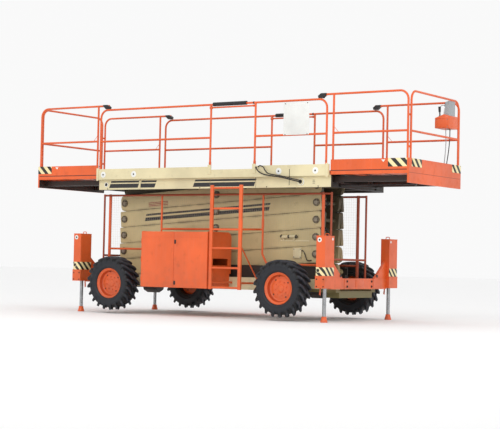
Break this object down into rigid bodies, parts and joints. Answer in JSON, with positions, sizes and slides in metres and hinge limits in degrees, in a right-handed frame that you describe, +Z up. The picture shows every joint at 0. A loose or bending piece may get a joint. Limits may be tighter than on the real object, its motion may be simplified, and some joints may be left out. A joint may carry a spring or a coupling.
{
  "type": "rough-terrain scissor lift",
  "caption": "Self-propelled rough-terrain scissor lift on jacks, with a stacked scissor mast and a railed work platform whose end decks slide in.",
  "frame": {"origin": "on the ground below the middle of the machine, at the jack feet", "axes": "+X to the front (steered wheels and control box), +Y to the far side, +Z up"},
  "size_m": [6.86, 2.412, 3.323],
  "materials": {
    "orange_paint": "satin enamel",
    "cream_paint": "satin enamel",
    "arm_paint": "satin enamel",
    "tyre_rubber": "moulded rubber",
    "black_paint": "semi-gloss",
    "chrome_rod": "polished",
    "engine_iron": "painted casting",
    "white_plate": "satin",
    "cable_rubber": "smooth jacket"
  },
  "bodies": {
    "chassis": {"chassis_frame": "cream_paint", "front_jack_beam": "orange_paint", "rear_jack_beam": "orange_paint", "front_axle": "black_paint", "rear_axle": "black_paint", "engine_block": "engine_iron", "near_cabinet": "orange_paint", "far_cabinet": "orange_paint", "near_ladder": "orange_paint", "far_ladder": "orange_paint", "near_guard": "orange_paint", "far_guard": "orange_paint"},
    "platform": {"platform_frame": "cream_paint", "platform_deck": "black_paint", "near_toe_board": "cream_paint", "far_toe_board": "cream_paint", "near_main_rail": "orange_paint", "far_main_rail": "orange_paint", "sign_board": "white_plate", "side_cable": "cable_rubber", "front_deck_barrel": "black_paint"},
    "front_extension": {"front_deck": "orange_paint", "front_deck_rails": "orange_paint", "control_box": "orange_paint", "control_cable": "cable_rubber", "front_deck_rod": "chrome_rod"},
    "rear_extension": {"rear_deck": "orange_paint", "rear_deck_rails": "orange_paint"},
    "near_knuckle": {"near_steering_knuckle": "black_paint"},
    "far_knuckle": {"far_steering_knuckle": "black_paint"},
    "lift_barrel": {"lift_cylinder_barrel": "black_paint"},
    "lift_rod": {"lift_cylinder_rod": "chrome_rod"},
    "front_near_wheel": {"front_near_tyre": "tyre_rubber", "front_near_rim": "orange_paint"},
    "front_near_jack": {"front_near_jack_leg": "chrome_rod"},
    "near_front_door_leaf": {"near_front_door": "orange_paint"},
    "front_far_wheel": {"front_far_tyre": "tyre_rubber", "front_far_rim": "orange_paint"},
    "front_far_jack": {"front_far_jack_leg": "chrome_rod"},
    "far_front_door_leaf": {"far_front_door": "orange_paint"},
    "rear_near_wheel": {"rear_near_tyre": "tyre_rubber", "rear_near_rim": "orange_paint"},
    "rear_near_jack": {"rear_near_jack_leg": "chrome_rod"},
    "near_rear_door_leaf": {"near_rear_door": "orange_paint"},
    "rear_far_wheel": {"rear_far_tyre": "tyre_rubber", "rear_far_rim": "orange_paint"},
    "rear_far_jack": {"rear_far_jack_leg": "chrome_rod"},
    "far_rear_door_leaf": {"far_rear_door": "orange_paint"},
    "near_gate_bar": {"near_gate": "orange_paint"},
    "far_gate_bar": {"far_gate": "orange_paint"},
    "outer_1": {"outer_arm_1": "arm_paint"},
    "inner_1": {"inner_arm_1": "arm_paint"},
    "outer_2": {"outer_arm_2": "arm_paint"},
    "inner_2": {"inner_arm_2": "arm_paint"},
    "outer_3": {"outer_arm_3": "arm_paint"},
    "inner_3": {"inner_arm_3": "arm_paint"},
    "outer_4": {"outer_arm_4": "arm_paint"},
    "inner_4": {"inner_arm_4": "arm_paint"},
    "outer_5": {"outer_arm_5": "arm_paint"},
    "inner_5": {"inner_arm_5": "arm_paint"}
  },
  "joints": [
    {"name": "front_near_wheel_spin", "type": "hinge", "parent": "near_knuckle", "child": "front_near_wheel", "pos_m": [1.51, -1.0525, 0.47], "axis": [0, 1, 0], "continuous": true},
    {"name": "front_far_wheel_spin", "type": "hinge", "parent": "far_knuckle", "child": "front_far_wheel", "pos_m": [1.51, 1.0525, 0.47], "axis": [0, 1, 0], "continuous": true},
    {"name": "rear_near_wheel_spin", "type": "hinge", "parent": "chassis", "child": "rear_near_wheel", "pos_m": [-1.625, -1.0525, 0.47], "axis": [0, 1, 0], "continuous": true},
    {"name": "rear_far_wheel_spin", "type": "hinge", "parent": "chassis", "child": "rear_far_wheel", "pos_m": [-1.625, 1.0525, 0.47], "axis": [0, 1, 0], "continuous": true},
    {"name": "near_steer", "type": "hinge", "parent": "chassis", "child": "near_knuckle", "pos_m": [1.51, -0.83, 0.47], "axis": [0, 0, 1], "range_deg": [-30, 30]},
    {"name": "far_steer", "type": "hinge", "parent": "chassis", "child": "far_knuckle", "pos_m": [1.51, 0.83, 0.47], "axis": [0, 0, 1], "range_deg": [-30, 30]},
    {"name": "front_near_jack_slide", "type": "slide", "parent": "chassis", "child": "front_near_jack", "axis": [0, 0, 1], "range_m": [0, 0.35]},
    {"name": "front_far_jack_slide", "type": "slide", "parent": "chassis", "child": "front_far_jack", "axis": [0, 0, 1], "range_m": [0, 0.35]},
    {"name": "rear_near_jack_slide", "type": "slide", "parent": "chassis", "child": "rear_near_jack", "axis": [0, 0, 1], "range_m": [0, 0.35]},
    {"name": "rear_far_jack_slide", "type": "slide", "parent": "chassis", "child": "rear_far_jack", "axis": [0, 0, 1], "range_m": [0, 0.35]},
    {"name": "scissor_lift", "type": "hinge", "parent": "chassis", "child": "outer_1", "pos_m": [-1.99, 0, 0.727], "axis": [0, -1, 0], "range_deg": [0, 48]},
    {"name": "inner_1_pivot", "type": "hinge", "parent": "outer_1", "child": "inner_1", "pos_m": [-0.17459, 0, 0.85618], "axis": [0, -1, 0], "range_deg": [-96, 0]},
    {"name": "inner_2_pivot", "type": "hinge", "parent": "outer_1", "child": "inner_2", "pos_m": [1.64082, 0, 0.98535], "axis": [0, -1, 0], "range_deg": [-96, 0]},
    {"name": "outer_2_pivot", "type": "hinge", "parent": "inner_2", "child": "outer_2", "pos_m": [-0.17459, 0, 1.11452], "axis": [0, -1, 0], "range_deg": [0, 96]},
    {"name": "outer_3_pivot", "type": "hinge", "parent": "inner_2", "child": "outer_3", "pos_m": [-1.99, 0, 1.2437], "axis": [0, -1, 0], "range_deg": [0, 96]},
    {"name": "inner_3_pivot", "type": "hinge", "parent": "outer_3", "child": "inner_3", "pos_m": [-0.17459, 0, 1.37287], "axis": [0, -1, 0], "range_deg": [-96, 0]},
    {"name": "inner_4_pivot", "type": "hinge", "parent": "outer_3", "child": "inner_4", "pos_m": [1.64082, 0, 1.50205], "axis": [0, -1, 0], "range_deg": [-96, 0]},
    {"name": "outer_4_pivot", "type": "hinge", "parent": "inner_4", "child": "outer_4", "pos_m": [-0.17459, 0, 1.63122], "axis": [0, -1, 0], "range_deg": [0, 96]},
    {"name": "outer_5_pivot", "type": "hinge", "parent": "inner_4", "child": "outer_5", "pos_m": [-1.99, 0, 1.7604], "axis": [0, -1, 0], "range_deg": [0, 96]},
    {"name": "inner_5_pivot", "type": "hinge", "parent": "outer_5", "child": "inner_5", "pos_m": [-0.17459, 0, 1.88957], "axis": [0, -1, 0], "range_deg": [-96, 0]},
    {"name": "platform_pivot", "type": "hinge", "parent": "inner_5", "child": "platform", "pos_m": [-1.99, 0, 2.01875], "axis": [0, -1, 0], "range_deg": [0, 48]},
    {"name": "lift_barrel_pivot", "type": "hinge", "parent": "inner_1", "child": "lift_barrel", "pos_m": [-0.90075, 0, 0.90785], "axis": [0, -1, 0], "range_deg": [0, 105.74]},
    {"name": "lift_rod_slide", "type": "slide", "parent": "lift_barrel", "child": "lift_rod", "axis": [0.9944, 0, 0.1061], "range_m": [0, 0.39209]},
    {"name": "front_deck_slide", "type": "slide", "parent": "platform", "child": "front_extension", "axis": [-1, 0, 0], "range_m": [0, 1.2]},
    {"name": "rear_deck_slide", "type": "slide", "parent": "platform", "child": "rear_extension", "axis": [1, 0, 0], "range_m": [0, 1.2]},
    {"name": "near_rear_door_hinge", "type": "hinge", "parent": "chassis", "child": "near_rear_door_leaf", "pos_m": [-0.975, -1.2, 0.434], "axis": [0, 0, -1], "range_deg": [0, 110]},
    {"name": "near_front_door_hinge", "type": "hinge", "parent": "chassis", "child": "near_front_door_leaf", "pos_m": [0.267, -1.2, 0.434], "axis": [0, 0, 1], "range_deg": [0, 90]},
    {"name": "near_gate_hinge", "type": "hinge", "parent": "platform", "child": "near_gate_bar", "pos_m": [0.052, -0.869, 3.19], "axis": [0, 0, 1], "range_deg": [0, 90]},
    {"name": "far_rear_door_hinge", "type": "hinge", "parent": "chassis", "child": "far_rear_door_leaf", "pos_m": [-0.975, 1.2, 0.434], "axis": [0, 0, 1], "range_deg": [0, 110]},
    {"name": "far_front_door_hinge", "type": "hinge", "parent": "chassis", "child": "far_front_door_leaf", "pos_m": [0.267, 1.2, 0.434], "axis": [0, 0, -1], "range_deg": [0, 90]},
    {"name": "far_gate_hinge", "type": "hinge", "parent": "platform", "child": "far_gate_bar", "pos_m": [0.052, 0.869, 3.19], "axis": [0, 0, -1], "range_deg": [0, 90]}
  ],
  "couplings": [
    {"joint": "far_steer", "follows": "near_steer", "ratio": 1},
    {"joint": "inner_1_pivot", "follows": "scissor_lift", "ratio": -2},
    {"joint": "inner_2_pivot", "follows": "scissor_lift", "ratio": -2},
    {"joint": "outer_2_pivot", "follows": "scissor_lift", "ratio": 2},
    {"joint": "outer_3_pivot", "follows": "scissor_lift", "ratio": 2},
    {"joint": "inner_3_pivot", "follows": "scissor_lift", "ratio": -2},
    {"joint": "inner_4_pivot", "follows": "scissor_lift", "ratio": -2},
    {"joint": "outer_4_pivot", "follows": "scissor_lift", "ratio": 2},
    {"joint": "outer_5_pivot", "follows": "scissor_lift", "ratio": 2},
    {"joint": "inner_5_pivot", "follows": "scissor_lift", "ratio": -2},
    {"joint": "platform_pivot", "follows": "scissor_lift", "ratio": 1},
    {"joint": "lift_barrel_pivot", "follows": "scissor_lift", "ratio": 2.2028},
    {"joint": "lift_rod_slide", "follows": "scissor_lift", "m_per_rad": 0.4679}
  ]
}
